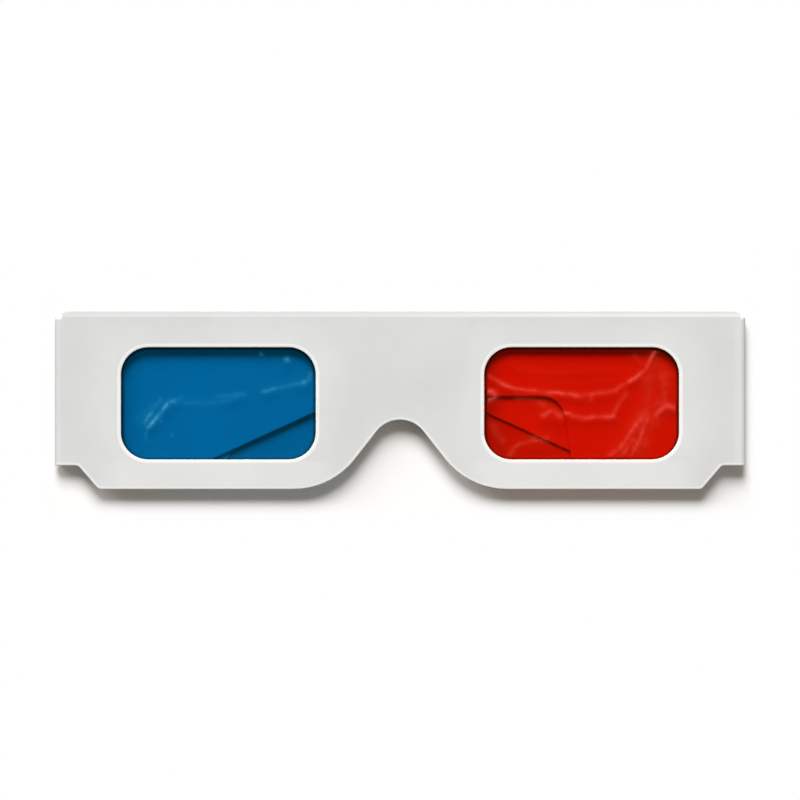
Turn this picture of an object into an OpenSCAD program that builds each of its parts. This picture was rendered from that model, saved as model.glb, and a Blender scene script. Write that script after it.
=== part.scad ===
// Paper anaglyph glasses, lying face up with both temples folded behind the front.
// Millimetres. X runs along the front, Y up the front and Z out of its face.
// The origin is under the middle of the front, on the surface that the glasses lie on.

/* [Front] */
// Width of the folded glasses, over both temple creases
front_w = 151.5; // [130:0.5:170]
// Height of the front, over its top fold
front_h = 39.1; // [34:0.1:46]
// How far the hinge ends stop above the bottom edge
end_rise = 5.2; // [3:0.1:6]
// Level stretch of the lower edge beside each crease
end_run = 5.2; // [3:0.1:6]
// Width of the slanted step between that stretch and the bottom edge
step_run = 4.5; // [3:0.1:6]
// Rounding of the step's two corners
step_r = 1.2; // [0.5:0.1:2]

/* [Windows] */
// Card beside a window, out to the crease's outer face
end_w = 14.6; // [12:0.1:18]
// Card between the two windows
bridge_w = 36.9; // [34:0.1:42]
// Card above a window, up to the top of the front
top_w = 8; // [6.5:0.1:9]
// Card below a window, down to the bottom edge
window_low = 6.5; // [5.5:0.1:7.5]
// Corner radius of a window
window_r = 6; // [3:0.5:9]

/* [Nose notch] */
// Height of the notch
notch_h = 15.2; // [12:0.1:18]
// Radius of the notch's round top
notch_top_r = 6.5; // [4:0.1:7.5]
// Slope of the notch's flanks, in degrees
notch_slope = 52; // [46:1:56]
// Radius of the sweep from a flank into the bottom edge
notch_foot_r = 17; // [8:0.5:20]

/* [Card, film and glue] */
// Thickness of the card
card_t = 0.45; // [0.3:0.05:0.6]
// Thickness of the film, and of the glue beside it
film_t = 0.12; // [0.08:0.02:0.2]
// Border of film that the card grips round a window
film_border = 3.2; // [2:0.1:3.6]
// How far the back panel stops inside the front's cut edges
back_inset = 0.6; // [0.3:0.1:1]
// How much larger the back panel's windows are, on each side
back_window_ease = 0.8; // [0.4:0.1:1.5]
// Distance of the glue from the back panel's edges
glue_inset = 0.7; // [0.5:0.1:1]
// Gap between neighbouring glue and film
glue_gap = 0.4; // [0.2:0.1:0.6]

/* [Temples] */
// How far a folded temple's tip stops short of the far end of the front
tip_clear = 12.75; // [8:0.25:20]
// How far a temple's top edge lies below the top of the front
temple_drop = 1.4; // [0.8:0.1:3]
// Length of the deep root, at its lower corner
root_l = 37.85; // [30:0.05:42]
// Lean of the root's free edge, in degrees
root_lean = 8.7; // [0:0.1:15]
// Rounding of the root's lower corner
root_r = 2; // [1:0.5:4]
// Height of the neck's lower edge above the bottom edge
neck_low = 20.4; // [16:0.1:24]
// Radius of the sweep from the root's free edge into the neck
neck_r = 5.4; // [3:0.1:7]
// Length of the ear hook, from where its lower edge starts to drop to the tip
hook_l = 52; // [48:0.5:58]
// Slope of the ear hook's lower edge, in degrees
hook_slope = 24.6; // [23:0.1:30]
// Radius of the sweep from the neck into the ear hook
hook_sweep_r = 15; // [5:1:25]
// Height of the ear hook's lowest edge above the bottom edge
hook_low = 3; // [2:0.1:5]
// Rounding of the ear hook's lower corners
hook_r = 3; // [1:0.5:4]
// Rounding of the tip's upper corner
tip_r = 6; // [3:0.5:8]

/* [Folded stack] */
// Air between the two folded temples
temple_gap = 0.6; // [0.4:0.1:1]
// Air between the back panel and the temple nearest to it
front_gap = 0.8; // [0.5:0.1:1.2]

/* [Hidden] */
$fn = 64;

card_colour = [0.87, 0.87, 0.86];
glue_colour = [0.93, 0.91, 0.82];
blue_colour = [0.0, 0.38, 0.63, 0.6];
red_colour = [0.85, 0.08, 0.03, 0.6];

// Length by which a cutting shape runs past what it cuts
past = 1;
// Largest turn between two points of an arc, in degrees
arc_step = 6;

// Levels of the stack, from the surface up
left_z = 0;
right_z = left_z + card_t + temple_gap;
back_z = right_z + card_t + front_gap;
film_z = back_z + card_t;
front_z = film_z + film_t;
top_z = front_z + card_t;

// Outer radii of the bends
left_crease_r = (top_z - left_z) / 2;
right_crease_r = (top_z - right_z) / 2;
fold_r = (top_z - back_z) / 2;

// Where the flat card begins beside each crease, and below the top fold
left_end = front_w / 2 - left_crease_r;
right_end = front_w / 2 - right_crease_r;
flat_top = front_h - fold_r;
temple_top = front_h - temple_drop;

// Windows, in what the card round them leaves of the front
window_w = (front_w - bridge_w) / 2 - end_w;
window_h = front_h - top_w - window_low;
window_pitch = bridge_w + window_w;

// Temple, from the crease's outer face
temple_l = front_w - tip_clear;
hook_start = temple_l - hook_l;

// Edges of a film, from the middle of the front and from the bottom edge
film_inner = window_pitch / 2 - window_w / 2 - film_border;
film_outer = window_pitch / 2 + window_w / 2 + film_border;
film_low = window_low - film_border;
film_top = window_low + window_h + film_border;

// Sideways width of the step per unit of inset
step_slant = sqrt(pow(step_run, 2) + pow(end_rise, 2)) / end_rise;

function unit(p) = p / norm(p);

// Side of the step's slanted edge at height v, from the middle of the front
function step_x(v) = front_w / 2 - end_run - step_run * (end_rise - v) / end_rise;

function turned(p, angle) =
    [p[0] * cos(angle) - p[1] * sin(angle), p[0] * sin(angle) + p[1] * cos(angle)];

// The arc of radius r that rounds the corner b of an outline a, b, c
function corner_arc(a, b, c, r) =
    let (
        to_a = unit(a - b),
        to_c = unit(c - b),
        half_angle = acos(to_a * to_c) / 2,
        middle = b + unit(to_a + to_c) * r / sin(half_angle),
        start = b + to_a * r / tan(half_angle),
        sweep = sign(cross(b - a, c - b)) * (180 - 2 * half_angle),
        steps = ceil(abs(sweep) / arc_step)
    )
    [for (i = [0:steps]) middle + turned(start - middle, sweep * i / steps)];

// The points of an outline whose corners are [x, y, radius]
function rounded(corners) =
    let (
        count = len(corners),
        points = [for (corner = corners) [corner[0], corner[1]]]
    )
    [for (i = [0:count - 1])
        let (before = points[(i + count - 1) % count], after = points[(i + 1) % count])
        each corners[i][2] > 0 ? corner_arc(before, points[i], after, corners[i][2]) : [points[i]]];

// Outline of a panel that ends at the given sides and stops inset inside the cut edges
module panel_outline(left, right, inset) {
    step_top = end_rise + inset;
    step_top_x = step_x(step_top) - inset * step_slant;
    step_low_x = step_x(inset) - inset * step_slant;
    top_r = notch_top_r + inset;
    peak = notch_h + inset + top_r * (1 / cos(notch_slope) - 1);
    foot_x = (peak - inset) / tan(notch_slope);
    foot_r = notch_foot_r - inset;
    polygon(rounded([
        [-left, step_top, 0], [-step_top_x, step_top, step_r], [-step_low_x, inset, step_r],
        [-foot_x, inset, foot_r], [0, peak, top_r], [foot_x, inset, foot_r],
        [step_low_x, inset, step_r], [step_top_x, step_top, step_r], [right, step_top, 0],
        [right, flat_top, 0], [-left, flat_top, 0]
    ]));
}

// Both windows, larger by ease on each side
module window_outlines(ease) {
    half_w = window_w / 2 + ease;
    low = window_low - ease;
    high = window_low + window_h + ease;
    r = window_r + ease;
    for (middle = [-window_pitch / 2, window_pitch / 2])
        translate([middle, 0])
            polygon(rounded([
                [-half_w, low, r], [half_w, low, r], [half_w, high, r], [-half_w, high, r]
            ]));
}

// Outline of a temple, from its root at the crease to its tip
module temple_outline(root_start) {
    root_top_u = root_l + (neck_low - end_rise) * tan(root_lean);
    hook_end = hook_start + (neck_low - hook_low) / tan(hook_slope);
    polygon(rounded([
        [root_start, end_rise, 0], [root_l, end_rise, root_r],
        [root_top_u, neck_low, neck_r], [hook_start, neck_low, hook_sweep_r],
        [hook_end, hook_low, hook_r], [temple_l, hook_low, hook_r],
        [temple_l, temple_top, tip_r], [root_start, temple_top, 0]
    ]));
}

// A flat sheet of thickness t whose outline is drawn from the bottom edge up
module sheet(z, t) {
    translate([0, -front_h / 2, z]) linear_extrude(t) children();
}

// A rectangle between two corners
module patch(low, high) {
    translate(low) square(high - low);
}

// Half of a bent strip of card, seen along the bend, on its -X side
module bend_section(r) {
    difference() {
        circle(r);
        circle(r - card_t);
        translate([0, -r - past]) square([r + past, 2 * (r + past)]);
    }
}

// A crease at the -X end of the front, with its axis at height z
module crease(r, z) {
    translate([-front_w / 2 + r, temple_top - front_h / 2, z])
        rotate([90, 0, 0]) linear_extrude(temple_top - end_rise) bend_section(r);
}

module front_panel() {
    color(card_colour)
        sheet(front_z, card_t)
            difference() {
                panel_outline(left_end, right_end, 0);
                window_outlines(0);
            }
}

module back_panel() {
    color(card_colour)
        sheet(back_z, card_t)
            difference() {
                panel_outline(left_end - back_inset, right_end - back_inset, back_inset);
                window_outlines(back_window_ease);
            }
}

module top_fold() {
    length = left_end + right_end - 2 * back_inset;
    color(card_colour)
        translate([right_end - back_inset, flat_top - front_h / 2, back_z + fold_r])
            rotate([0, -90, 0]) linear_extrude(length)
                rotate([0, 0, -90]) bend_section(fold_r);
}

module blue_film() {
    color(blue_colour)
        sheet(film_z, film_t) patch([-film_outer, film_low], [-film_inner, film_top]);
}

module red_film() {
    color(red_colour)
        sheet(film_z, film_t) patch([film_inner, film_low], [film_outer, film_top]);
}

// Glue between the panels beside a film's outer edge, at the +X end
module end_glue(end) {
    color(glue_colour)
        sheet(film_z, film_t)
            patch([film_outer + glue_gap, end_rise + back_inset + glue_inset],
                  [end - back_inset - glue_inset, film_top]);
}

module left_end_glue() {
    mirror([1, 0, 0]) end_glue(left_end);
}

module right_end_glue() {
    end_glue(right_end);
}

module bridge_glue() {
    half_w = film_inner - glue_gap;
    color(glue_colour)
        sheet(film_z, film_t)
            patch([-half_w, notch_h + back_inset + glue_inset], [half_w, film_top]);
}

module upper_glue() {
    color(glue_colour)
        sheet(film_z, film_t)
            patch([-left_end + back_inset + glue_inset, film_top + glue_gap],
                  [right_end - back_inset - glue_inset, flat_top - glue_inset]);
}

// Glue line under the film on the +X side, between the nose notch and the step
module lower_glue() {
    low = back_inset + glue_inset;
    color(glue_colour)
        sheet(film_z, film_t)
            patch([window_pitch / 2 - window_w / 2 + film_border, low],
                  [step_x(low) - step_slant * low, film_low - glue_gap]);
}

module lower_left_glue() {
    mirror([1, 0, 0]) lower_glue();
}

module lower_right_glue() {
    lower_glue();
}

module left_crease() {
    color(card_colour) crease(left_crease_r, left_z + left_crease_r);
}

module right_crease() {
    color(card_colour) mirror([1, 0, 0]) crease(right_crease_r, right_z + right_crease_r);
}

module left_temple() {
    color(card_colour)
        translate([-front_w / 2, 0, 0])
            sheet(left_z, card_t) temple_outline(left_crease_r);
}

module right_temple() {
    color(card_colour)
        mirror([1, 0, 0]) translate([-front_w / 2, 0, 0])
            sheet(right_z, card_t) temple_outline(right_crease_r);
}

front_panel();
back_panel();
top_fold();
blue_film();
red_film();
left_end_glue();
bridge_glue();
right_end_glue();
upper_glue();
lower_left_glue();
lower_right_glue();
left_crease();
right_crease();
left_temple();
right_temple();
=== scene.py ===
"""Paper anaglyph glasses with both temples folded behind the front, lying face up on a white table."""

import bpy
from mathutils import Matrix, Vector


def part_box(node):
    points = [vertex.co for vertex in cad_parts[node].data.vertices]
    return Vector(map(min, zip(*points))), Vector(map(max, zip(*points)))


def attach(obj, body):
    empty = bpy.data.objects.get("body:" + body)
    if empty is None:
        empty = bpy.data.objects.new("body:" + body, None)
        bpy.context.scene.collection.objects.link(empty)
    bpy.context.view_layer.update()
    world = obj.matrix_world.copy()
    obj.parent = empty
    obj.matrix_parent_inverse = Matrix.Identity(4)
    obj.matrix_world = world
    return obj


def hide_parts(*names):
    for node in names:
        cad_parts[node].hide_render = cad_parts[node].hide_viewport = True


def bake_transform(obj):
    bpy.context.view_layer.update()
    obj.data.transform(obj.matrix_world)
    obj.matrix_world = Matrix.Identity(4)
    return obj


bl_info = {
    "name": "Paper Anaglyph Glasses",
    "version": (1, 0, 0),
    "blender": (4, 5, 0),
    "location": "View3D > Sidebar > Glasses",
    "description": "Builds folded paper glasses with one blue and one red film, and their stage",
    "category": "Add Mesh",
}

import math
from collections import namedtuple

import bmesh
import bpy
from bpy.props import FloatProperty, FloatVectorProperty, PointerProperty
from mathutils import Vector, noise
from mathutils.geometry import delaunay_2d_cdt

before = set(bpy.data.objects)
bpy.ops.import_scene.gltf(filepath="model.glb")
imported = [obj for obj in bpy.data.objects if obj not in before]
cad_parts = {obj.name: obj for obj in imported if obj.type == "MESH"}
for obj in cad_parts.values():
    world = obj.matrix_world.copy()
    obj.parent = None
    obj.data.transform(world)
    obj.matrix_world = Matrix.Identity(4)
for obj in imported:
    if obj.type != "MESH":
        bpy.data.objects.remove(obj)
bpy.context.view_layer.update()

MM = 0.001
ARC_STEP = math.radians(6)
SHARP_ANGLE = math.radians(42)
LEAST_RADIUS = 0.05 * MM
LEAST_FLATNESS = 0.001

# Distances between points: along the card's edges, over its faces, and in the part of a film that shows
EDGE_SPACING = 1.2 * MM
FACE_SPACING = 2.5 * MM
FILM_SPACING = 0.25 * MM

# Steps round the half turns of the top fold and of a crease
FOLD_STEPS = 24
CREASE_STEPS = 36

# Where the bow of a temple starts and ends, from its crease
BOW_START = 60 * MM
BOW_END = 105 * MM

# Seed of the noise that bends the films' creases
CREASE_SEED = 4

# A corner of an outline: its place, its rounding, and whether the edge after it is a die-cut edge
Corner = namedtuple("Corner", "x y radius cut")

# One ring of a cut edge: how far inside the edge, how far below the face, and how pale and how raw it
# looks; the paleness is partly pressed card, partly painted highlight
Ring = namedtuple("Ring", "inset depth rim core")

# One crease of a film: how white and how wide it is, its line of points, and the box round what it whitens
Fold = namedtuple("Fold", "strength width line low high")


def length(name, default, description):
    """A property for a length, whose default is given in millimetres."""
    return FloatProperty(
        name=name, description=description, default=default * MM, min=0, unit="LENGTH", precision=5
    )


def angle(name, default, description):
    """A property for an angle, whose default is given in degrees."""
    return FloatProperty(
        name=name, description=description, default=math.radians(default), subtype="ANGLE", unit="ROTATION"
    )


def colour(name, default, description):
    """A property for a colour."""
    return FloatVectorProperty(
        name=name, description=description, default=default, size=3, min=0, max=1, subtype="COLOR"
    )


def number(name, default, description):
    """A property for a strength or a share."""
    return FloatProperty(name=name, description=description, default=default, min=0)


class FrontSizes(bpy.types.PropertyGroup):
    """Sizes of the two panels of the front and of their windows."""

    height: length("Height", 39.1, "Height of the front over its top fold")
    end_rise: length("End rise", 5.2, "How far the hinge ends stop above the bottom edge")
    end_run: length("End run", 5.2, "Level stretch of the lower edge beside each crease")
    step_run: length("Step run", 4.5, "Width of the slanted step beside that stretch")
    step_round: length("Step rounding", 1.2, "Rounding of the step's corners")
    window_width: length("Window width", 42.7, "Width of a window")
    window_height: length("Window height", 24.6, "Height of a window")
    window_round: length("Window rounding", 6.0, "Corner radius of a window")
    window_pitch: length("Window pitch", 79.6, "Distance between the windows' middles")
    window_low: length("Window base", 6.5, "Height of a window's lower edge")
    notch_height: length("Notch height", 15.2, "Height of the nose notch")
    notch_round: length("Notch rounding", 6.5, "Radius of the notch's top")
    notch_slope: angle("Notch slope", 52.0, "Slope of the notch's flanks")
    notch_foot: length("Notch foot", 17.0, "Radius of the sweep into the bottom edge")
    back_inset: length("Back inset", 0.6, "How far the back panel stops inside the front's edges")
    back_ease: length("Back window ease", 0.8, "How much larger the back panel's windows are")


class TempleSizes(bpy.types.PropertyGroup):
    """Sizes of one temple, measured from its crease."""

    reach: length("Length", 138.75, "Length from the crease's outer face to the tip")
    drop: length("Drop", 1.4, "How far the top edge lies below the top of the front")
    root: length("Root", 37.85, "Length of the deep root")
    root_lean: angle("Root lean", 8.7, "Lean of the root's free edge")
    root_round: length("Root rounding", 2.0, "Rounding of the root's lower corner")
    neck_low: length("Neck base", 20.4, "Height of the neck's lower edge")
    neck_round: length("Neck rounding", 5.4, "Radius of the sweep into the neck")
    hook_start: length("Hook start", 86.75, "Where the ear hook starts to drop")
    hook_slope: angle("Hook slope", 24.6, "Slope of the ear hook's lower edge")
    hook_sweep: length("Hook sweep", 15.0, "Radius of the sweep into the ear hook")
    hook_low: length("Hook base", 3.0, "Height of the ear hook's lowest edge")
    hook_round: length("Hook rounding", 3.0, "Rounding of the ear hook's lower corners")
    tip_round: length("Tip rounding", 6.0, "Rounding of the tip's upper corner")
    sag: length("Sag", 0.3, "How far the upper temple sags towards the table at its tip")
    lift: length("Lift", 0.16, "How far the lower temple's ear hook lifts off the table")


class FinishLook(bpy.types.PropertyGroup):
    """Colours of the card, films and glue, and how clouded the films are."""

    card: colour("Card", (0.698, 0.707, 0.705), "Face of the card")
    # The cut rim's colour is partly card pressed by the die, partly a painted highlight where the edge
    # catches light
    rim: colour("Cut rim", (0.90, 0.895, 0.875), "Card pressed pale along a die-cut edge")
    core: colour("Card core", (0.80, 0.775, 0.72), "Raw fibre in a cut edge")
    blue: colour("Blue film", (0.014, 0.418, 0.692), "What the blue film lets through")
    red: colour("Red film", (0.942, 0.082, 0.021), "What the red film lets through")
    glue: colour("Glue", (0.86, 0.83, 0.72), "Dried glue between the panels")
    blue_veil: number("Blue veil", 0.032, "Share of the blue film that is clouded")
    red_veil: number("Red veil", 0.012, "Share of the red film that is clouded")


class StageLook(bpy.types.PropertyGroup):
    """Camera, table and lamps."""

    camera_height: length("Camera height", 780.0, "Height of the camera over the table")
    view_width: length("View width", 176.0, "Width of table that the picture takes in")
    key_power: number("Key lamp", 3.24, "Strength of the soft lamp beyond the top edge")
    side_power: number("Side lamp", 1.5, "Strength of the low soft lamp on the left")
    fill_power: number("Fill lamp", 0.80, "Strength of the weak lamp low beyond the right end")
    lamp_spread: angle("Lamp spread", 32.0, "How wide the lamps look from the table")
    ambient: number("Ambient", 0.145, "Strength of the even light from all round")
    ambient_tint: colour("Ambient tint", (1.0, 0.94, 0.84), "Colour of that light")
    # Painted shade: the grey that the table shows through the films
    table: colour("Table", (0.60, 0.60, 0.60), "Table as the films and the bounced light see it")
    table_beside: length("Table beside", 2.5, "How far the table fades out past each crease")
    table_below: length("Table below", 26.5, "How far the table goes below the middle of the front")
    table_above: length("Table above", 24.0, "How far the table goes above the middle of the front")


class GlassesSettings(bpy.types.PropertyGroup):
    """All sizes and colours that a user would change."""

    front: PointerProperty(type=FrontSizes)
    temple: PointerProperty(type=TempleSizes)
    finish: PointerProperty(type=FinishLook)
    stage: PointerProperty(type=StageLook)


def smooth(value, low, high):
    """A smooth step from 0 to 1 as value goes from low to high."""
    t = max(0, min(1, (value - low) / (high - low)))
    return t * t * (3 - 2 * t)


# Outlines

def crossing(first, second):
    """The point where two lines meet, each given as a point and a direction."""
    (a, u), (b, v) = first, second
    return a + u * ((b - a).cross(v) / u.cross(v))


def moved_corners(corners, inset):
    """Corners and radii of an outline whose cut edges have all moved inwards by inset."""
    lines = []
    for i, corner in enumerate(corners):
        after = corners[(i + 1) % len(corners)]
        here = Vector((corner.x, corner.y))
        along = (Vector((after.x, after.y)) - here).normalized()
        inward = Vector((-along.y, along.x))
        lines.append((here + inward * (inset if corner.cut else 0), along))
    moved = []
    for i, corner in enumerate(corners):
        turn = lines[i - 1][1].cross(lines[i][1])
        radius = corner.radius
        if radius > 0:
            radius = max(radius - (inset if turn > 0 else -inset), LEAST_RADIUS)
        moved.append((crossing(lines[i - 1], lines[i]), radius))
    return moved


def corner_arc(before, corner, after, radius):
    """Points of the arc that rounds a corner."""
    back = (before - corner).normalized()
    ahead = (after - corner).normalized()
    half = math.acos(max(-1, min(1, back.dot(ahead)))) / 2
    middle = corner + (back + ahead).normalized() * (radius / math.sin(half))
    start = corner + back * (radius / math.tan(half)) - middle
    sweep = math.copysign(math.pi - 2 * half, (corner - before).cross(after - corner))
    steps = math.ceil(abs(sweep) / ARC_STEP - 1e-4)
    points = []
    for i in range(steps + 1):
        turn = sweep * i / steps
        x = start.x * math.cos(turn) - start.y * math.sin(turn)
        y = start.x * math.sin(turn) + start.y * math.cos(turn)
        points.append(middle + Vector((x, y)))
    return points


def corner_points(corners, inset):
    """One list of points for each corner of an outline, moved inwards by inset."""
    moved = moved_corners(corners, inset)
    groups = []
    for i, (point, radius) in enumerate(moved):
        if radius > 0:
            after = moved[(i + 1) % len(moved)][0]
            groups.append(corner_arc(moved[i - 1][0], point, after, radius))
        else:
            groups.append([point])
    return groups


def outline_loop(corners, inset, spacing):
    """Evenly spaced points of an outline, and whether each is on a cut edge. Every inset gives as many."""
    shade_grey_paint = corner_points(corners, 0)
    groups = corner_points(corners, inset)
    loop = []
    cuts = []
    for i, group in enumerate(groups):
        j = (i + 1) % len(groups)
        gap = (shade_grey_paint[j][0] - shade_grey_paint[i][-1]).length
        steps = max(1, math.ceil(gap / spacing))
        loop.extend(group)
        cuts.extend([corners[i - 1].cut or corners[i].cut] * len(group))
        for k in range(1, steps):
            loop.append(group[-1].lerp(groups[j][0], k / steps))
            cuts.append(corners[i].cut)
    return loop, cuts


def holds(loop, point):
    """Whether a closed loop of points goes round a point."""
    inside = False
    for i, a in enumerate(loop):
        b = loop[i - 1]
        if (a.y > point.y) != (b.y > point.y):
            if point.x < a.x + (b.x - a.x) * (point.y - a.y) / (b.y - a.y):
                inside = not inside
    return inside


def filled(loops, spacing):
    """Triangles that fill the first loop round the others, and the grid points added inside."""
    points = [p for loop in loops for p in loop]
    edges = []
    first = 0
    for loop in loops:
        count = len(loop)
        edges.extend((first + i, first + (i + 1) % count) for i in range(count))
        first += count
    low_x = min(p.x for p in loops[0])
    low_y = min(p.y for p in loops[0])
    wide = max(p.x for p in loops[0]) - low_x
    high = max(p.y for p in loops[0]) - low_y
    grid = []
    for i in range(1, int(wide / spacing) + 1):
        for j in range(1, int(high / spacing) + 1):
            spot = Vector((low_x + i * spacing, low_y + j * spacing))
            clear = min((spot - p).length_squared for p in points) > (0.5 * spacing) ** 2
            if clear and holds(loops[0], spot) and not any(holds(hole, spot) for hole in loops[1:]):
                grid.append(spot)
    found = delaunay_2d_cdt(points + grid, edges, [], 0, 1e-9)
    triangles = []
    for face in found[2]:
        a, b, c = (found[0][i] for i in face)
        middle = (a + b + c) / 3
        reach = max((b - a).length_squared, (c - b).length_squared, (a - c).length_squared)
        sliver = abs((b - a).cross(c - a)) < LEAST_FLATNESS * reach
        if not sliver and holds(loops[0], middle) and not any(holds(hole, middle) for hole in loops[1:]):
            triangles.append([found[3][i][0] for i in face])
    return triangles, grid


# Outlines of these glasses

def half_width():
    """Half of the folded width, over both creases."""
    return (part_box("right_crease")[1].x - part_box("left_crease")[0].x) / 2


def window_middle(sizes):
    """Height of the windows' middles above the middle of the front."""
    return sizes.window_low + (sizes.window_height - sizes.height) / 2


def window_core(sizes):
    """Half the width and height between the middles of a window's rounded corners."""
    return sizes.window_width / 2 - sizes.window_round, sizes.window_height / 2 - sizes.window_round


def front_edges(sizes):
    """Ends of the flat card at the left and right creases and at the top fold."""
    low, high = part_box("front_panel")
    return -low.x, high.x, high.y + sizes.height / 2


def panel_outline(sizes, left, right, top, inset, free_ends):
    """Corners of a panel, drawn from the bottom edge up."""
    half = half_width()
    slant = math.hypot(sizes.step_run, sizes.end_rise) / sizes.end_rise
    high_x = half - sizes.end_run + (sizes.step_run / sizes.end_rise - slant) * inset
    low_x = half - sizes.end_run - sizes.step_run + (sizes.step_run / sizes.end_rise - slant) * inset
    rise = sizes.end_rise + inset
    top_round = sizes.notch_round + inset
    peak = sizes.notch_height + inset + top_round * (1 / math.cos(sizes.notch_slope) - 1)
    foot_x = (peak - inset) / math.tan(sizes.notch_slope)
    foot = sizes.notch_foot - inset
    return [
        Corner(-left, rise, 0, True),
        Corner(-high_x, rise, sizes.step_round, True),
        Corner(-low_x, inset, sizes.step_round, True),
        Corner(-foot_x, inset, foot, True),
        Corner(0, peak, top_round, True),
        Corner(foot_x, inset, foot, True),
        Corner(low_x, inset, sizes.step_round, True),
        Corner(high_x, rise, sizes.step_round, True),
        Corner(right, rise, 0, free_ends),
        Corner(right, top, 0, False),
        Corner(-left, top, 0, free_ends),
    ]


def window_outline(sizes, side, ease):
    """Corners of one window, larger by ease all round."""
    middle = side * sizes.window_pitch / 2
    half = sizes.window_width / 2 + ease
    low = sizes.window_low - ease
    high = sizes.window_low + sizes.window_height + ease
    radius = sizes.window_round + ease
    return [
        Corner(middle - half, low, radius, True),
        Corner(middle + half, low, radius, True),
        Corner(middle + half, high, radius, True),
        Corner(middle - half, high, radius, True),
    ]


def temple_outline(front, sizes, start):
    """Corners of a temple, from its root at the crease to its tip."""
    top = front.height - sizes.drop
    root_top = sizes.root + (sizes.neck_low - front.end_rise) * math.tan(sizes.root_lean)
    hook_end = sizes.hook_start + (sizes.neck_low - sizes.hook_low) / math.tan(sizes.hook_slope)
    return [
        Corner(start, front.end_rise, 0, True),
        Corner(sizes.root, front.end_rise, sizes.root_round, True),
        Corner(root_top, sizes.neck_low, sizes.neck_round, True),
        Corner(sizes.hook_start, sizes.neck_low, sizes.hook_sweep, True),
        Corner(hook_end, sizes.hook_low, sizes.hook_round, True),
        Corner(sizes.reach, sizes.hook_low, sizes.hook_round, True),
        Corner(sizes.reach, top, sizes.tip_round, True),
        Corner(start, top, 0, False),
    ]


# Card sheets with rounded, pale cut edges

def edge_rings(thickness, printed_up, spread, pale):
    """Rings of a cut edge, from the flat face over the edge to the flat back.

    The printed side has a pale rim, partly card pressed pale by the die and partly a painted highlight
    where the edge catches light:
    spread widens it and pale says how white it is. The rows give inset and depth in millimetres, then how
    pale and how raw the ring looks."""
    inside_share = 0.1
    rows = [
        (1.80 * spread, 0.0, 0.0, 0.0),
        (1.25 * spread, 0.0, 0.12 * pale, 0.0),
        (0.92 * spread, 0.0, 0.50 * pale, 0.0),
        (0.60 * spread, 0.0, pale, 0.0),
        (0.20, 0.010, pale, 0.0),
        (0.10, 0.032, pale, 0.0),
        (0.035, 0.075, pale, 0.25),
        (0.0, 0.14, pale, 0.9),
    ]
    printed = [Ring(a * MM, b * MM, c, d) for a, b, c, d in rows]
    inside = [ring._replace(rim=ring.rim * inside_share) for ring in printed]
    front, back = (printed, inside) if printed_up else (inside, printed)
    return front + [ring._replace(depth=thickness - ring.depth) for ring in reversed(back)]


def outer_rings(thickness, printed_up=True):
    """Rings of the outer edge of a piece of card."""
    return edge_rings(thickness, printed_up, spread=0.75, pale=0.75)


def window_rings(thickness, printed_up=True):
    """Rings of a window's edge, whose pale rim is wider and whiter."""
    return edge_rings(thickness, printed_up, spread=0.95, pale=1.0)


def new_piece(name, bm, material):
    """A smooth mesh object from a finished bmesh, in the scene."""
    mesh = bpy.data.meshes.new(name)
    bm.to_mesh(mesh)
    bm.free()
    for polygon in mesh.polygons:
        polygon.use_smooth = True
    mesh.set_sharp_from_angle(angle=SHARP_ANGLE)
    mesh.materials.append(material)
    piece = bpy.data.objects.new(name, mesh)
    bpy.context.scene.collection.objects.link(piece)
    return piece


def card_sheet(outline, holes, low_z, high_z, lift, printed_up):
    """A bmesh of one flat piece of card. Outlines are drawn from the bottom edge up and moved by lift."""
    edges = [(outline, 1, outer_rings(high_z - low_z, printed_up))]
    edges += [(hole, -1, window_rings(high_z - low_z, printed_up)) for hole in holes]
    bm = bmesh.new()
    rim = bm.verts.layers.float.new("rim")
    core = bm.verts.layers.float.new("core")

    def vertex(point, ring, cut):
        made = bm.verts.new((point.x, point.y + lift, high_z - ring.depth))
        made[rim] = ring.rim if cut else 0
        made[core] = ring.core if cut else 0
        return made

    fronts = []
    backs = []
    inner = []
    for corners, side, rings in edges:
        rows = []
        for ring in rings:
            loop, cuts = outline_loop(corners, side * ring.inset, EDGE_SPACING)
            rows.append([vertex(point, ring, cut) for point, cut in zip(loop, cuts)])
        inner.append(outline_loop(corners, side * rings[0].inset, EDGE_SPACING)[0])
        for above, below in zip(rows, rows[1:]):
            for i in range(len(above)):
                j = (i + 1) % len(above)
                quad = (above[i], below[i], below[j], above[j])
                bm.faces.new(quad if side > 0 else quad[::-1])
        fronts.extend(rows[0])
        backs.extend(rows[-1])
    triangles, grid = filled(inner, FACE_SPACING)
    fronts.extend(vertex(point, rings[0], True) for point in grid)
    backs.extend(vertex(point, rings[-1], True) for point in grid)
    for triangle in triangles:
        bm.faces.new([fronts[i] for i in triangle])
        bm.faces.new([backs[i] for i in reversed(triangle)])
    bmesh.ops.remove_doubles(bm, verts=bm.verts, dist=1e-6)
    bmesh.ops.dissolve_degenerate(bm, edges=bm.edges, dist=1e-7)
    bmesh.ops.recalc_face_normals(bm, faces=bm.faces)
    return bm


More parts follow.
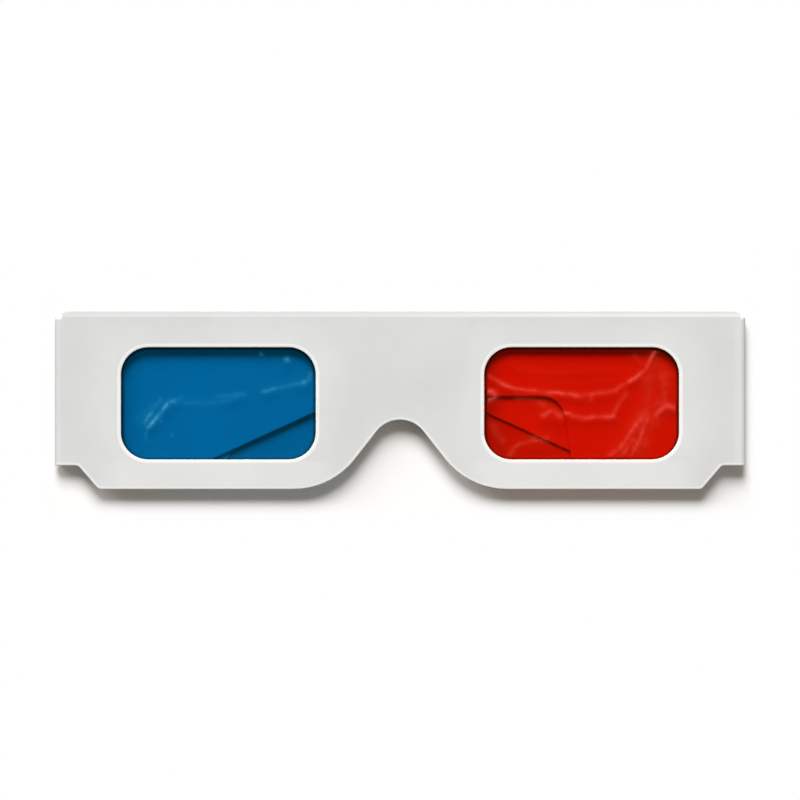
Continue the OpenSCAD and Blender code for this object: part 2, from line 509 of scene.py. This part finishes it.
def bent_strip(low, high, section, rings, place):
    """A bmesh of a bent strip of card. Section gives the outer and inner radius of each turn."""
    bm = bmesh.new()
    rim = bm.verts.layers.float.new("rim")
    core = bm.verts.layers.float.new("core")
    half = len(rings) // 2
    faces = list(zip(rings[:half], rings[:half - 1:-1]))
    stations = [(low + out.inset, out, into) for out, into in reversed(faces)]
    inner_low = stations[-1][0]
    inner_high = high - rings[0].inset
    steps = math.ceil((inner_high - inner_low) / FACE_SPACING)
    for i in range(1, steps):
        stations.append((inner_low + (inner_high - inner_low) * i / steps, *faces[0]))
    stations.extend((high - out.inset, out, into) for out, into in faces)
    outer = []
    inner = []
    for along, out, into in stations:
        outer_row = []
        inner_row = []
        for turn, far, near in section:
            sides = ((far - out.depth, out, outer_row), (near + out.depth, into, inner_row))
            for radius, ring, row in sides:
                made = bm.verts.new(place(along, turn, radius))
                made[rim] = ring.rim
                made[core] = ring.core
                row.append(made)
        outer.append(outer_row)
        inner.append(inner_row)
    for rows in (outer, inner):
        for a, b in zip(rows, rows[1:]):
            for i in range(len(a) - 1):
                bm.faces.new((a[i], a[i + 1], b[i + 1], b[i]))
    for a, b in ((outer[0], inner[0]), (outer[-1], inner[-1])):
        for i in range(len(a) - 1):
            bm.faces.new((a[i], a[i + 1], b[i + 1], b[i]))
    for i in (0, -1):
        for j in range(len(outer) - 1):
            bm.faces.new((outer[j][i], outer[j + 1][i], inner[j + 1][i], inner[j][i]))
    bmesh.ops.recalc_face_normals(bm, faces=bm.faces)
    return bm


def half_turn(outer, inner, steps):
    """The turns of a half round bend, each with its outer and inner radius."""
    return [(math.pi * i / steps, outer, inner) for i in range(steps + 1)]


# Shader expressions

class Value:
    """An output socket with arithmetic: an expression on values adds its Math nodes."""

    def __init__(self, finish, socket):
        self.finish = finish
        self.socket = socket

    def math(self, operation, first, second):
        return self.finish.add("ShaderNodeMath", {"operation": operation}, {0: first, 1: second})

    def __add__(self, other):
        return self.math("ADD", self, other)

    def __radd__(self, other):
        return self.math("ADD", other, self)

    def __sub__(self, other):
        return self.math("SUBTRACT", self, other)

    def __rsub__(self, other):
        return self.math("SUBTRACT", other, self)

    def __mul__(self, other):
        return self.math("MULTIPLY", self, other)

    def __rmul__(self, other):
        return self.math("MULTIPLY", other, self)

    def __pow__(self, other):
        return self.math("POWER", self, other)

    def size(self):
        return self.math("ABSOLUTE", self, 0.0)

    def at_most(self, other):
        return self.math("MINIMUM", self, other)

    def at_least(self, other):
        return self.math("MAXIMUM", self, other)


class Finish:
    """The nodes of a material or of the world."""

    def __init__(self, owner):
        self.owner = owner
        owner.use_nodes = True
        self.tree = owner.node_tree
        self.tree.nodes.clear()

    def add(self, kind, settings=None, sockets=None, output=0):
        """Adds a node: its settings first, then the values or links of its sockets."""
        node = self.tree.nodes.new(kind)
        for key, value in (settings or {}).items():
            setattr(node, key, value)
        for key, value in (sockets or {}).items():
            socket = node.inputs[key]
            if isinstance(value, Value):
                self.tree.links.new(value.socket, socket)
            elif socket.type == "RGBA" and len(value) == 3:
                socket.default_value = (*value, 1)
            else:
                socket.default_value = value
        return Value(self, node.outputs[output]) if node.outputs else None

    def place(self):
        """The place on the piece at rest, in metres in the part's frame."""
        return self.add("ShaderNodeTexCoord", output=3)

    def along(self, axis):
        """One coordinate of that place: 0 across the front, 1 up it, 2 out of its face."""
        return self.add("ShaderNodeSeparateXYZ", None, {"Vector": self.place()}, axis)

    def stretched(self, scale):
        """That place with each axis scaled."""
        return self.add("ShaderNodeMapping", None, {"Vector": self.place(), "Scale": scale})

    def noise(self, vector, scale=1.0, detail=2.0, rough=0.5, warp=0.0):
        """Cloudy noise from about 0 to 1."""
        sockets = {"Vector": vector, "Scale": scale, "Detail": detail}
        sockets.update({"Roughness": rough, "Distortion": warp})
        return self.add("ShaderNodeTexNoise", None, sockets)

    def step(self, value, low, high, first=0.0, last=1.0):
        """A smooth step from first to last as value goes from low to high."""
        settings = {"interpolation_type": "SMOOTHSTEP"}
        sockets = {"Value": value, "From Min": low, "From Max": high, "To Min": first, "To Max": last}
        return self.add("ShaderNodeMapRange", settings, sockets)

    def mark(self, name):
        """A value that the mesh carries on its points."""
        return self.add("ShaderNodeAttribute", {"attribute_name": name}, output=2)

    def mixed(self, share, first, second):
        """A colour between two colours."""
        return self.add("ShaderNodeMix", {"data_type": "RGBA"}, {0: share, 6: first, 7: second}, 2)

    def bump(self, height, strength, distance):
        """A normal bent by a height."""
        sockets = {"Height": height, "Strength": strength, "Distance": distance}
        return self.add("ShaderNodeBump", None, sockets)

    def surface(self, shader):
        """Ends the tree with its output and gives back the material."""
        self.add("ShaderNodeOutputMaterial", None, {"Surface": shader})
        return self.owner


# Finishes

def new_finish(name):
    """The empty nodes of a new material."""
    return Finish(bpy.data.materials.new(name))


def toned(tint, factor):
    """A colour made lighter or darker."""
    return tuple(min(1, c * factor) for c in tint)


def painted_light_round_windows(finish, sizes):
    """Painted light: how much paler the front's face is painted round its windows and in the strips below
    them.
    """
    across = finish.along(0)
    up = finish.along(1)
    core_w, core_h = window_core(sizes)
    off_middle = (across.size() - sizes.window_pitch / 2).size()
    beside = (off_middle - core_w).at_least(0)
    above = ((up - window_middle(sizes)).size() - core_h).at_least(0)
    gap = (beside ** 2 + above ** 2) ** 0.5 - sizes.window_round
    halo = finish.step(gap, 9 * MM, 1.5 * MM, 0, 0.17)
    sill = sizes.window_low - sizes.height / 2
    strip = finish.step(up, sill + MM, sill - MM, 0, 0.34)
    strip = strip * finish.step(off_middle, 28 * MM, 20 * MM)
    face_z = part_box("front_panel")[0].z
    return halo.at_least(strip) * finish.step(finish.along(2), face_z, face_z + 0.2 * MM)


def pale_and_highlit_folds(finish, sizes):
    """How pale the card is at the right crease and along the top fold, more so to the right: partly card
    pressed pale, partly a painted highlight.
    """
    across = finish.along(0)
    up = finish.along(1)
    end = half_width()
    top = sizes.height / 2
    crease = finish.step(across, end - 3.2 * MM, end - 1.8 * MM, 0, 0.15)
    band = finish.step(up, top - 1.65 * MM, top - 1.1 * MM)
    band = band * finish.step(up, top - 0.4 * MM, top - 0.7 * MM)
    return crease.at_least(band * finish.step(across, -20 * MM, 40 * MM, 0.48, 0.85))


def card_material(settings):
    """Matte white board: faint cloudiness, fibre grain, pale rims and folds that are partly pressed card
    and partly painted highlight, painted light round the windows, painted shade over the outer edge of the
    top fold, and raw cut cores.
    """
    look = settings.finish
    sizes = settings.front
    finish = new_finish("white_card")
    place = finish.place()
    clouds = finish.noise(place, scale=55, detail=3, rough=0.6)
    grain = finish.noise(place, scale=2600, detail=3, rough=0.65)
    fibres = finish.noise(finish.stretched((420, 2600, 900)), detail=4, rough=0.7, warp=1.2)
    layers = finish.noise(finish.stretched((900, 900, 14000)), detail=3, rough=0.6)
    rim = finish.mark("rim")
    core = finish.mark("core")
    face = finish.mixed(finish.step(clouds, 0.3, 0.7), toned(look.card, 0.966), toned(look.card, 1.03))
    flecks = finish.step(fibres, 0.68, 0.80, 0, 0.35)
    face = finish.mixed(flecks, face, toned(look.card, 0.86))
    ragged = finish.step(rim + (grain - 0.5) * 0.35, 0.25, 0.95)
    # Paleness of the cut rims and folds, partly pressed card and partly painted highlight, and painted
    # light round the windows
    pressed = ragged.at_least(pale_and_highlit_folds(finish, sizes)).at_least(painted_light_round_windows(finish, sizes))
    edged = finish.mixed(pressed, face, tuple(look.rim))
    top = sizes.height / 2
    # Painted shade: the outer edge of the top fold is painted darker
    fold_top_shade = finish.step(finish.along(1), top - 0.6 * MM, top - 0.3 * MM, 0, 0.8)
    with_fold_top_shade = finish.mixed(fold_top_shade, edged, toned(look.card, 0.84))
    raw = finish.mixed(layers, toned(look.core, 0.82), tuple(look.core))
    base = finish.mixed(core, with_fold_top_shade, raw)
    rough = 0.52 + grain * 0.16 + core * 0.2 + rim * 0.06
    relief = grain * 0.5 + fibres * 0.6 + clouds * 0.4
    normal = finish.bump(relief, 0.22, 0.03 * MM)
    sockets = {"Base Color": base, "Roughness": rough, "Normal": normal, "Specular IOR Level": 0.0}
    return finish.surface(finish.add("ShaderNodeBsdfPrincipled", None, sockets))


def film_material(name, tint, veil):
    """Thin coloured gel: clear, glossy, with creases painted pale (partly gel turned pale by creasing,
    partly painted glints), painted sheen streaks, dust, painted shade just inside the window's edge, and a
    faint waviness.
    """
    finish = new_finish(name)
    place = finish.place()
    crease = finish.mark("crease")
    waves = finish.noise(place, scale=120, detail=2)
    patchy = finish.noise(place, scale=700, detail=3, rough=0.6)
    gaps = finish.noise(place, scale=260, detail=2)
    specks = finish.add("ShaderNodeTexVoronoi", None, {"Vector": place, "Scale": 260.0})
    spread = finish.noise(place, scale=90, detail=1)
    dust = finish.step(specks, 0.05, 0.028) * finish.step(spread, 0.60, 0.66)
    # Painted sheen: faint pale streaks across the film, added to the creases' paleness
    streaks = finish.noise(finish.stretched((110, 420, 200)), detail=3, rough=0.6, warp=0.6)
    sheen_streaks = finish.step(streaks, 0.4, 0.75, 0, 0.035)
    broken = finish.step(patchy, 0.25, 0.6, 0.45, 1.0)
    faded = finish.step(gaps, 0.36, 0.6, 0.5, 1.0)
    line = crease * broken * faded + sheen_streaks
    edge_shade = finish.mark("edge_shade")
    # Creases are painted pale: partly gel turned pale by creasing, partly painted glints where they would
    # catch the light
    crease_white_and_glint = tuple(min(1, max(c + 0.03, 0.1)) for c in tint)
    base = finish.mixed((line + dust).at_most(1), toned(tint, 0.8), crease_white_and_glint)
    # Painted shade: the film turns dark and opaque just inside the window's edge
    base = finish.mixed((edge_shade * 4).at_most(1), base, toned(tint, 0.05))
    normal = finish.bump(waves + patchy * 0.06, 0.35, 0.05 * MM)
    gloss = finish.add("ShaderNodeLayerWeight", None, {"Blend": 0.5}, "Facing") ** 5 * 0.8
    share = (gloss + line * 0.6 + dust * 0.5 + edge_shade * 0.8 + veil).at_most(0.95)
    clear = finish.add("ShaderNodeBsdfTransparent", None, {"Color": tuple(tint)})
    rough = 0.10 + patchy * 0.08 + line * 0.25
    sockets = {"Base Color": base, "Roughness": rough, "Normal": normal}
    sockets.update({"Specular IOR Level": 0.0, "Coat Weight": gloss})
    body = finish.add("ShaderNodeBsdfPrincipled", None, sockets)
    return finish.surface(finish.add("ShaderNodeMixShader", None, {0: share, 1: clear, 2: body}))


def glue_material(look):
    """Dried paper glue: uneven cream with small bubbles."""
    finish = new_finish("dried_glue")
    streaks = finish.noise(finish.stretched((260, 1400, 400)), detail=4, rough=0.6)
    bubbles = finish.add("ShaderNodeTexVoronoi", None, {"Vector": finish.place(), "Scale": 900.0})
    base = finish.mixed(streaks, toned(look.glue, 0.85), tuple(look.glue))
    rough = 0.38 + streaks * 0.3
    normal = finish.bump(streaks + finish.step(bubbles, 0.1, 0.35) * 0.4, 0.4, 0.03 * MM)
    sockets = {"Base Color": base, "Roughness": rough, "Normal": normal, "IOR": 1.47}
    return finish.surface(finish.add("ShaderNodeBsdfPrincipled", None, sockets))


def shared_card(settings):
    """The card material, made once."""
    return bpy.data.materials.get("white_card") or card_material(settings)


# Pieces

class GLASSES_OT_front(bpy.types.Operator):
    """Builds the front panel, the back panel and the fold that joins them"""

    bl_idname = "glasses.front"
    bl_label = "Front card"

    def execute(self, context):
        settings = context.scene.paper_glasses
        sizes = settings.front
        card = shared_card(settings)
        left, right, top = front_edges(sizes)
        lift = -sizes.height / 2
        low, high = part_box("front_panel")
        outline = panel_outline(sizes, left, right, top, 0, False)
        windows = [window_outline(sizes, side, 0) for side in (-1, 1)]
        front = new_piece("front_card", card_sheet(outline, windows, low.z, high.z, lift, True), card)
        inset = sizes.back_inset
        back_low, back_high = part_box("back_panel")
        outline = panel_outline(sizes, left - inset, right - inset, top, inset, True)
        windows = [window_outline(sizes, side, sizes.back_ease) for side in (-1, 1)]
        bm = card_sheet(outline, windows, back_low.z, back_high.z, lift, False)
        back = new_piece("back_card", bm, card)
        fold_low, fold_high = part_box("top_fold")
        radius = (fold_high.z - fold_low.z) / 2
        middle_z = fold_low.z + radius

        def place(along, turn, distance):
            y = fold_low.y + distance * math.sin(turn)
            return along, y, middle_z + distance * math.cos(turn)

        thickness = high.z - low.z
        section = half_turn(radius, radius - thickness, FOLD_STEPS)
        rings = [ring._replace(depth=0) for ring in outer_rings(thickness)]
        bm = bent_strip(fold_low.x, fold_high.x, section, rings, place)
        fold = new_piece("top_fold_card", bm, card)
        for piece, node in ((front, "front_panel"), (back, "back_panel"), (fold, "top_fold")):
            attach(piece, "front")
            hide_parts(node)
        return {"FINISHED"}


# Creases and specks in the films: strength, half width and points, in millimetres from the window's middle
BLUE_CREASES = [
    (0.60, 0.36, (-16.3, -4.2), (-15.0, -2.4), (-13.7, -0.5), (-12.8, 0.7)),
    (1.00, 0.40, (-15.5, -5.3), (-14.2, -3.8), (-12.7, -1.9), (-11.4, -0.2)),
    (0.40, 0.42, (-15.9, -7.8), (-15.8, -6.6), (-15.5, -5.3)),
    (0.55, 0.43, (-10.5, 0.4), (-9.7, 0.8)),
    (0.35, 0.43, (-8.7, 1.2), (-8.2, 1.5)),
    (0.22, 0.46, (-9.6, 0.2), (-5.0, 0.2), (0.6, 0.3), (3.9, 1.5)),
    (0.25, 0.54, (0.0, 1.6), (3.0, 1.8), (5.6, 2.1)),
    (0.48, 0.50, (9.6, 2.6), (12.0, 3.1), (14.6, 3.7), (18.6, 4.5)),
    (0.22, 0.90, (-17.3, -4.2), (-16.0, -2.4), (-14.7, -0.5)),
    (0.45, 0.48, (18.6, 4.5), (19.7, 5.4), (20.3, 6.6)),
    (0.90, 0.43, (14.9, 9.6), (15.0, 9.5)),
    (0.40, 0.38, (9.4, 10.8), (9.5, 10.7)),
    (0.35, 0.36, (-10.2, -7.0), (-10.1, -7.1)),
    (0.30, 0.31, (-13.1, -3.6), (-12.7, -4.0)),
]
RED_CREASES = [
    (0.86, 0.41, (-20.5, 6.2), (-17.8, 4.6), (-14.6, 3.3), (-10.5, 2.8), (-5.5, 2.3), (-1.5, 1.8)),
    (0.55, 0.50, (-1.5, 1.8), (1.8, 2.0), (4.3, 2.3), (7.5, 2.7)),
    (0.95, 0.41, (7.5, 2.9), (9.6, 4.4), (12.0, 5.8), (13.7, 7.2), (14.7, 9.3), (16.3, 11.5)),
    (0.50, 0.43, (1.9, 1.7), (2.0, 1.2), (1.9, 0.7)),
    (0.60, 0.54, (-8.4, -2.6), (-6.4, -1.8), (-4.7, -2.8)),
    (0.95, 0.41, (-3.5, -2.0), (-1.5, -2.8), (0.6, -3.2), (3.4, -3.0), (6.7, -2.8)),
    (0.40, 0.50, (6.7, -2.8), (7.9, -0.6), (9.6, 2.3)),
    (0.75, 0.41, (5.9, -11.6), (7.5, -10.4), (9.6, -8.3), (10.0, -7.3), (11.2, -5.5), (12.9, -3.6)),
    (0.60, 0.43, (8.4, -11.6), (10.0, -10.0), (11.2, -7.9)),
    (0.62, 0.43, (11.2, -11.2), (12.0, -9.2), (13.7, -5.5), (14.9, -2.6)),
    (0.80, 0.58, (15.7, -3.0), (17.1, -1.6), (18.6, -0.6), (20.4, -0.8)),
    (0.25, 0.60, (13.3, -3.0), (14.1, -1.4), (14.7, 1.5), (14.3, 5.6)),
    (0.22, 0.60, (17.4, 6.0), (18.2, 1.9), (18.6, -0.1)),
    (0.25, 1.50, (15.4, 8.5), (14.8, 3.0), (13.4, -2.6), (10.0, -8.4), (7.6, -11.2)),
    (0.20, 1.30, (18.6, 6.5), (17.6, 1.8), (15.4, -4.8), (13.0, -11.0)),
    (0.30, 0.48, (11.6, 10.5), (12.9, 8.9)),
    (0.50, 0.48, (-15.8, -11.6), (-14.6, -9.6), (-12.5, -8.5), (-10.5, -7.9)),
    (0.35, 0.66, (-10.5, -7.7), (-9.0, -8.0), (-7.6, -7.9)),
    (0.28, 0.72, (-19.5, -4.6), (-18.6, -6.4), (-17.4, -8.3)),
    (1.10, 0.50, (-20.5, 2.5), (-19.1, 2.3), (-18.9, 1.5), (-20.7, 0.5)),
    (0.30, 0.54, (-14.2, 1.1), (-10.5, 0.7), (-8.0, -0.4)),
    (0.10, 0.48, (-14.0, 7.6), (-6.0, 7.0), (4.0, 7.4), (11.0, 7.8)),
    (0.08, 0.48, (-10.0, 5.2), (-2.0, 4.6), (7.0, 5.2)),
]


def smooth_line(points, steps=8):
    """Points of a smooth curve through the given points, in metres."""
    spots = [Vector(p) * MM for p in points]
    ends = [spots[0] * 2 - spots[1]] + spots + [spots[-1] * 2 - spots[-2]]
    line = []
    for a, b, c, d in zip(ends, ends[1:], ends[2:], ends[3:]):
        for i in range(steps):
            t = i / steps
            bend = (2 * a - 5 * b + 4 * c - d) * t * t + (3 * b - a - 3 * c + d) * t ** 3
            line.append(b + ((c - a) * t + bend) / 2)
    line.append(spots[-1])
    return line


def gap_to(line, spot):
    """Distance from a point to a line of points."""
    least = 1.0
    for a, b in zip(line, line[1:]):
        run = b - a
        t = max(0, min(1, (spot - a).dot(run) / run.length_squared))
        least = min(least, (a + run * t - spot).length)
    return least


def laid_fold(strength, width, *points):
    """A crease from its row in the lists above."""
    line = smooth_line(points)
    room = 5 * width * MM
    low = Vector((min(p.x for p in line) - room, min(p.y for p in line) - room))
    high = Vector((max(p.x for p in line) + room, max(p.y for p in line) + room))
    return Fold(strength, width * MM, line, low, high)


def creasing(folds, spot, wobble):
    """How creased a film is at a point, from 0 to 1: a bright line with a faint glow beside it."""
    creased = 0.0
    for fold in folds:
        if fold.low.x < spot.x < fold.high.x and fold.low.y < spot.y < fold.high.y:
            gap = gap_to(fold.line, spot + wobble) / fold.width
            glow = 0.84 * math.exp(-gap * gap) + 0.16 * math.exp(-gap * gap / 7)
            creased = 1 - (1 - creased) * (1 - fold.strength * glow)
    return creased


def film_lines(low, middle, half, high):
    """Places of a film's grid lines along one axis: close together in the window, few under the card."""
    count = round(2 * half / FILM_SPACING)
    close = [middle - half + 2 * half * i / count for i in range(count + 1)]
    return [low, middle - half - MM, *close, middle + half + MM, high]


def film_sheet(sizes, low, high, creases):
    """A bmesh of one film: flat where the card grips it, slightly wavy and creased in the window."""
    wave_height = 0.05 * MM
    crease_height = 0.05 * MM
    wobble_size = 0.22 * MM
    grip = 3 * MM
    edge_shade_width = 0.5 * MM
    middle = Vector(((low.x + high.x) / 2, window_middle(sizes)))
    half_w = sizes.window_width / 2 + sizes.back_ease
    half_h = sizes.window_height / 2 + sizes.back_ease
    core_w, core_h = window_core(sizes)
    level = (low.z + high.z) / 2
    folds = [laid_fold(*crease) for crease in creases]
    bm = bmesh.new()
    crease_mark = bm.verts.layers.float.new("crease")
    edge_shade_mark = bm.verts.layers.float.new("edge_shade")
    columns = film_lines(low.x, middle.x, half_w, high.x)
    noise.seed_set(CREASE_SEED)
    grid = []
    for y in film_lines(low.y, middle.y, half_h, high.y):
        row = []
        for x in columns:
            spot = Vector((x, y)) - middle
            wobble = noise.noise_vector(Vector((x, y, 0)) * 550).xy * wobble_size
            creased = creasing(folds, spot, wobble)
            inside = min(half_w - abs(spot.x), half_h - abs(spot.y)) / grip
            free = max(0.0, min(1.0, inside))
            wave = noise.noise(Vector((x * 90, y * 110, 3.7))) * wave_height
            made = bm.verts.new((x, y, level + free * (wave + creased * crease_height)))
            made[crease_mark] = creased
            # Painted shade: the film is dark just inside the window's edge, half as much along the bottom
            # as at the sides and top
            past = math.hypot(max(abs(spot.x) - core_w, 0), max(abs(spot.y) - core_h, 0))
            inner = max(0.0, sizes.window_round - past)
            upper = 0.5 + 0.5 * smooth(spot.y + half_h, 1.5 * MM, 5 * MM)
            made[edge_shade_mark] = upper * math.exp(-((inner / edge_shade_width) ** 2))
            row.append(made)
        grid.append(row)
    for a, b in zip(grid, grid[1:]):
        for i in range(len(a) - 1):
            bm.faces.new((a[i], a[i + 1], b[i + 1], b[i]))
    return bm


class GLASSES_OT_films(bpy.types.Operator):
    """Builds the blue and the red film"""

    bl_idname = "glasses.films"
    bl_label = "Films"

    def execute(self, context):
        settings = context.scene.paper_glasses
        look = settings.finish
        films = (
            ("blue", look.blue, look.blue_veil, BLUE_CREASES),
            ("red", look.red, look.red_veil, RED_CREASES),
        )
        for name, tint, veil, creases in films:
            node = name + "_film"
            low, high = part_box(node)
            material = film_material(name + "_gel", tuple(tint), veil)
            piece = new_piece(name + "_gel_sheet", film_sheet(settings.front, low, high, creases), material)
            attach(piece, "front")
            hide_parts(node)
        return {"FINISHED"}


class GLASSES_OT_glue(bpy.types.Operator):
    """Gives the glue between the panels its finish"""

    bl_idname = "glasses.glue"
    bl_label = "Glue"

    def execute(self, context):
        material = glue_material(context.scene.paper_glasses.finish)
        for name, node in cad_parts.items():
            if name.endswith("_glue"):
                node.data.materials.clear()
                node.data.materials.append(material)
        return {"FINISHED"}


class GLASSES_OT_temples(bpy.types.Operator):
    """Builds both temples, each from the crease to its ear hook"""

    bl_idname = "glasses.temples"
    bl_label = "Temples"

    def execute(self, context):
        settings = context.scene.paper_glasses
        card = shared_card(settings)
        for side, node in ((-1, "left_temple"), (1, "right_temple")):
            low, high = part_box(node)
            crease_low, crease_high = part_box(node.replace("temple", "crease"))
            start = crease_high.x - crease_low.x
            outline = temple_outline(settings.front, settings.temple, start)
            bm = card_sheet(outline, [], low.z, high.z, -settings.front.height / 2, False)
            edge = side * half_width()
            for vertex in bm.verts:
                along = vertex.co.x
                vertex.co.x = edge - side * along
                bow = -settings.temple.sag if side > 0 else settings.temple.lift
                vertex.co.z += bow * smooth(along, BOW_START, BOW_END)
            bmesh.ops.recalc_face_normals(bm, faces=bm.faces)
            piece = new_piece(node + "_card", bm, card)
            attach(piece, node)
            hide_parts(node)
        return {"FINISHED"}


class GLASSES_OT_creases(bpy.types.Operator):
    """Builds the two creases that join the temples to the front"""

    bl_idname = "glasses.creases"
    bl_label = "Creases"

    def execute(self, context):
        settings = context.scene.paper_glasses
        card = shared_card(settings)
        panel_low, panel_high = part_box("front_panel")
        thickness = panel_high.z - panel_low.z
        for side, body in ((-1, "left_temple"), (1, "right_temple")):
            node = body.replace("temple", "crease")
            low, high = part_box(node)
            radius = (high.z - low.z) / 2
            axis_x = high.x if side < 0 else low.x
            axis_z = low.z + radius

            def place(along, turn, distance):
                x = axis_x + side * distance * math.sin(turn)
                return x, along, axis_z + distance * math.cos(turn)

            section = half_turn(radius, radius - thickness, CREASE_STEPS)
            bm = bent_strip(low.y, high.y, section, outer_rings(thickness), place)
            piece = new_piece(node + "_card", bm, card)
            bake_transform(piece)
            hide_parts(node)
        return {"FINISHED"}


class GLASSES_OT_stage(bpy.types.Operator):
    """Sets up the white table, the soft lamps and the camera straight above"""

    bl_idname = "glasses.stage"
    bl_label = "Stage"

    def execute(self, context):
        look = context.scene.paper_glasses.stage
        self.table(look)
        self.world(context, look)
        self.lamp(context, "key_lamp", (-0.10, 0.98, 0.81), look.key_power)
        self.lamp(context, "side_lamp", (-0.70, 0.62, 0.36), look.side_power)
        fill = self.lamp(context, "fill_lamp", (0.80, -0.58, 0.15), look.fill_power)
        fill.visible_glossy = False
        self.camera(context, look)
        context.scene.view_settings.view_transform = "Standard"
        return {"FINISHED"}

    def lamp(self, context, name, place, power):
        """A soft lamp that shines from a place towards the middle of the table."""
        light = bpy.data.lights.new(name, "SUN")
        light.angle = context.scene.paper_glasses.stage.lamp_spread
        light.energy = power
        holder = bpy.data.objects.new(name, light)
        holder.location = place
        holder.rotation_euler = Vector(place).to_track_quat("Z", "Y").to_euler()
        context.scene.collection.objects.link(holder)
        return holder

    def camera(self, context, look):
        """A camera straight above the middle, looking down."""
        lens = bpy.data.cameras.new("camera")
        lens.lens = lens.sensor_width * look.camera_height / look.view_width
        lens.clip_start = 0.01
        lens.clip_end = 10
        camera = bpy.data.objects.new("camera", lens)
        camera.location = (0, 0, look.camera_height)
        context.scene.collection.objects.link(camera)
        context.scene.camera = camera

    def table(self, look):
        """A white table that fades out beside the creases, where the temples open past its level."""
        sink = 0.02 * MM
        near_fade = 5 * MM
        far_fade = 3 * MM
        half = half_width()
        side = half + look.table_beside
        low = -look.table_below
        high = look.table_above
        corners = [(-side, low), (side, low), (side, high), (-side, high)]
        bm = bmesh.new()
        bm.faces.new([bm.verts.new((x, y, -sink)) for x, y in corners])
        finish = new_finish("table")
        up = finish.along(1)
        solid = finish.step(finish.along(0).size(), half, side, 1.0, 0.0)
        shaded = finish.step(up, low, low + near_fade) * finish.step(up, high, high - far_fade)
        clear = finish.add("ShaderNodeBsdfTransparent", None, {"Color": (1, 1, 1)})
        # Painted shade: everything but a direct camera ray sees the table grey, so through the films it
        # looks shaded as under the glasses, and it bounces less light
        paint = {"Base Color": tuple(look.table), "Roughness": 0.9, "Specular IOR Level": 0.0}
        shade_grey_paint = finish.add("ShaderNodeBsdfPrincipled", None, paint)
        paint["Base Color"] = (1, 1, 1)
        # Painted light: a faint warm glow in the white paint, which shows in the table's shadows and tints
        # them warm
        painted_warm_glow = {"Emission Color": (1, 0.6, 0.1), "Emission Strength": 0.02}
        white = finish.add("ShaderNodeBsdfPrincipled", None, {**paint, **painted_warm_glow})
        films = finish.add("ShaderNodeLightPath", None, None, "Transparent Depth")
        direct = finish.add("ShaderNodeLightPath", None, None, "Is Camera Ray") * (1 - films.at_most(1))
        glow = finish.add("ShaderNodeEmission", None, {"Color": (1, 1, 1), "Strength": 1.0})
        seen = finish.add("ShaderNodeMixShader", None, {0: shaded, 1: glow, 2: white})
        top = finish.add("ShaderNodeMixShader", None, {0: direct, 1: shade_grey_paint, 2: seen})
        mixed = finish.add("ShaderNodeMixShader", None, {0: solid, 1: clear, 2: top})
        table = new_piece("table", bm, finish.surface(mixed))

    def world(self, context, look):
        """White to the camera and in reflections, and an even soft light elsewhere."""
        world = bpy.data.worlds.new("studio")
        sky = Finish(world)
        rays = [
            sky.add("ShaderNodeLightPath", None, None, kind)
            for kind in ("Is Camera Ray", "Is Glossy Ray", "Is Transmission Ray")
        ]
        seen = rays[0].at_least(rays[1]).at_least(rays[2])
        soft = {"Color": tuple(look.ambient_tint), "Strength": look.ambient}
        light = sky.add("ShaderNodeBackground", None, soft)
        white = sky.add("ShaderNodeBackground", None, {"Color": (1, 1, 1), "Strength": 1.0})
        mixed = sky.add("ShaderNodeMixShader", None, {0: seen, 1: light, 2: white})
        sky.add("ShaderNodeOutputWorld", None, {"Surface": mixed})
        context.scene.world = world


class GLASSES_PT_panel(bpy.types.Panel):
    """Lists the pieces in the order in which they are built"""

    bl_label = "Paper Glasses"
    bl_idname = "GLASSES_PT_panel"
    bl_space_type = "VIEW_3D"
    bl_region_type = "UI"
    bl_category = "Glasses"

    def draw(self, context):
        settings = context.scene.paper_glasses
        for group in (settings.front, settings.temple, settings.finish, settings.stage):
            box = self.layout.box()
            for key in group.bl_rna.properties.keys():
                if key not in ("rna_type", "name"):
                    box.prop(group, key)
        for operator in PIECES:
            self.layout.operator(operator.bl_idname)


PIECES = (
    GLASSES_OT_front, GLASSES_OT_films, GLASSES_OT_glue,
    GLASSES_OT_temples, GLASSES_OT_creases, GLASSES_OT_stage,
)
CLASSES = (FrontSizes, TempleSizes, FinishLook, StageLook, GlassesSettings, *PIECES, GLASSES_PT_panel)


def register():
    for cls in CLASSES:
        bpy.utils.register_class(cls)
    bpy.types.Scene.paper_glasses = PointerProperty(type=GlassesSettings)


def unregister():
    del bpy.types.Scene.paper_glasses
    for cls in reversed(CLASSES):
        bpy.utils.unregister_class(cls)


def main():
    register()
    bpy.ops.glasses.front()
    bpy.ops.glasses.films()
    bpy.ops.glasses.glue()
    bpy.ops.glasses.temples()
    bpy.ops.glasses.creases()
    bpy.ops.glasses.stage()


if __name__ == "__main__":
    main()
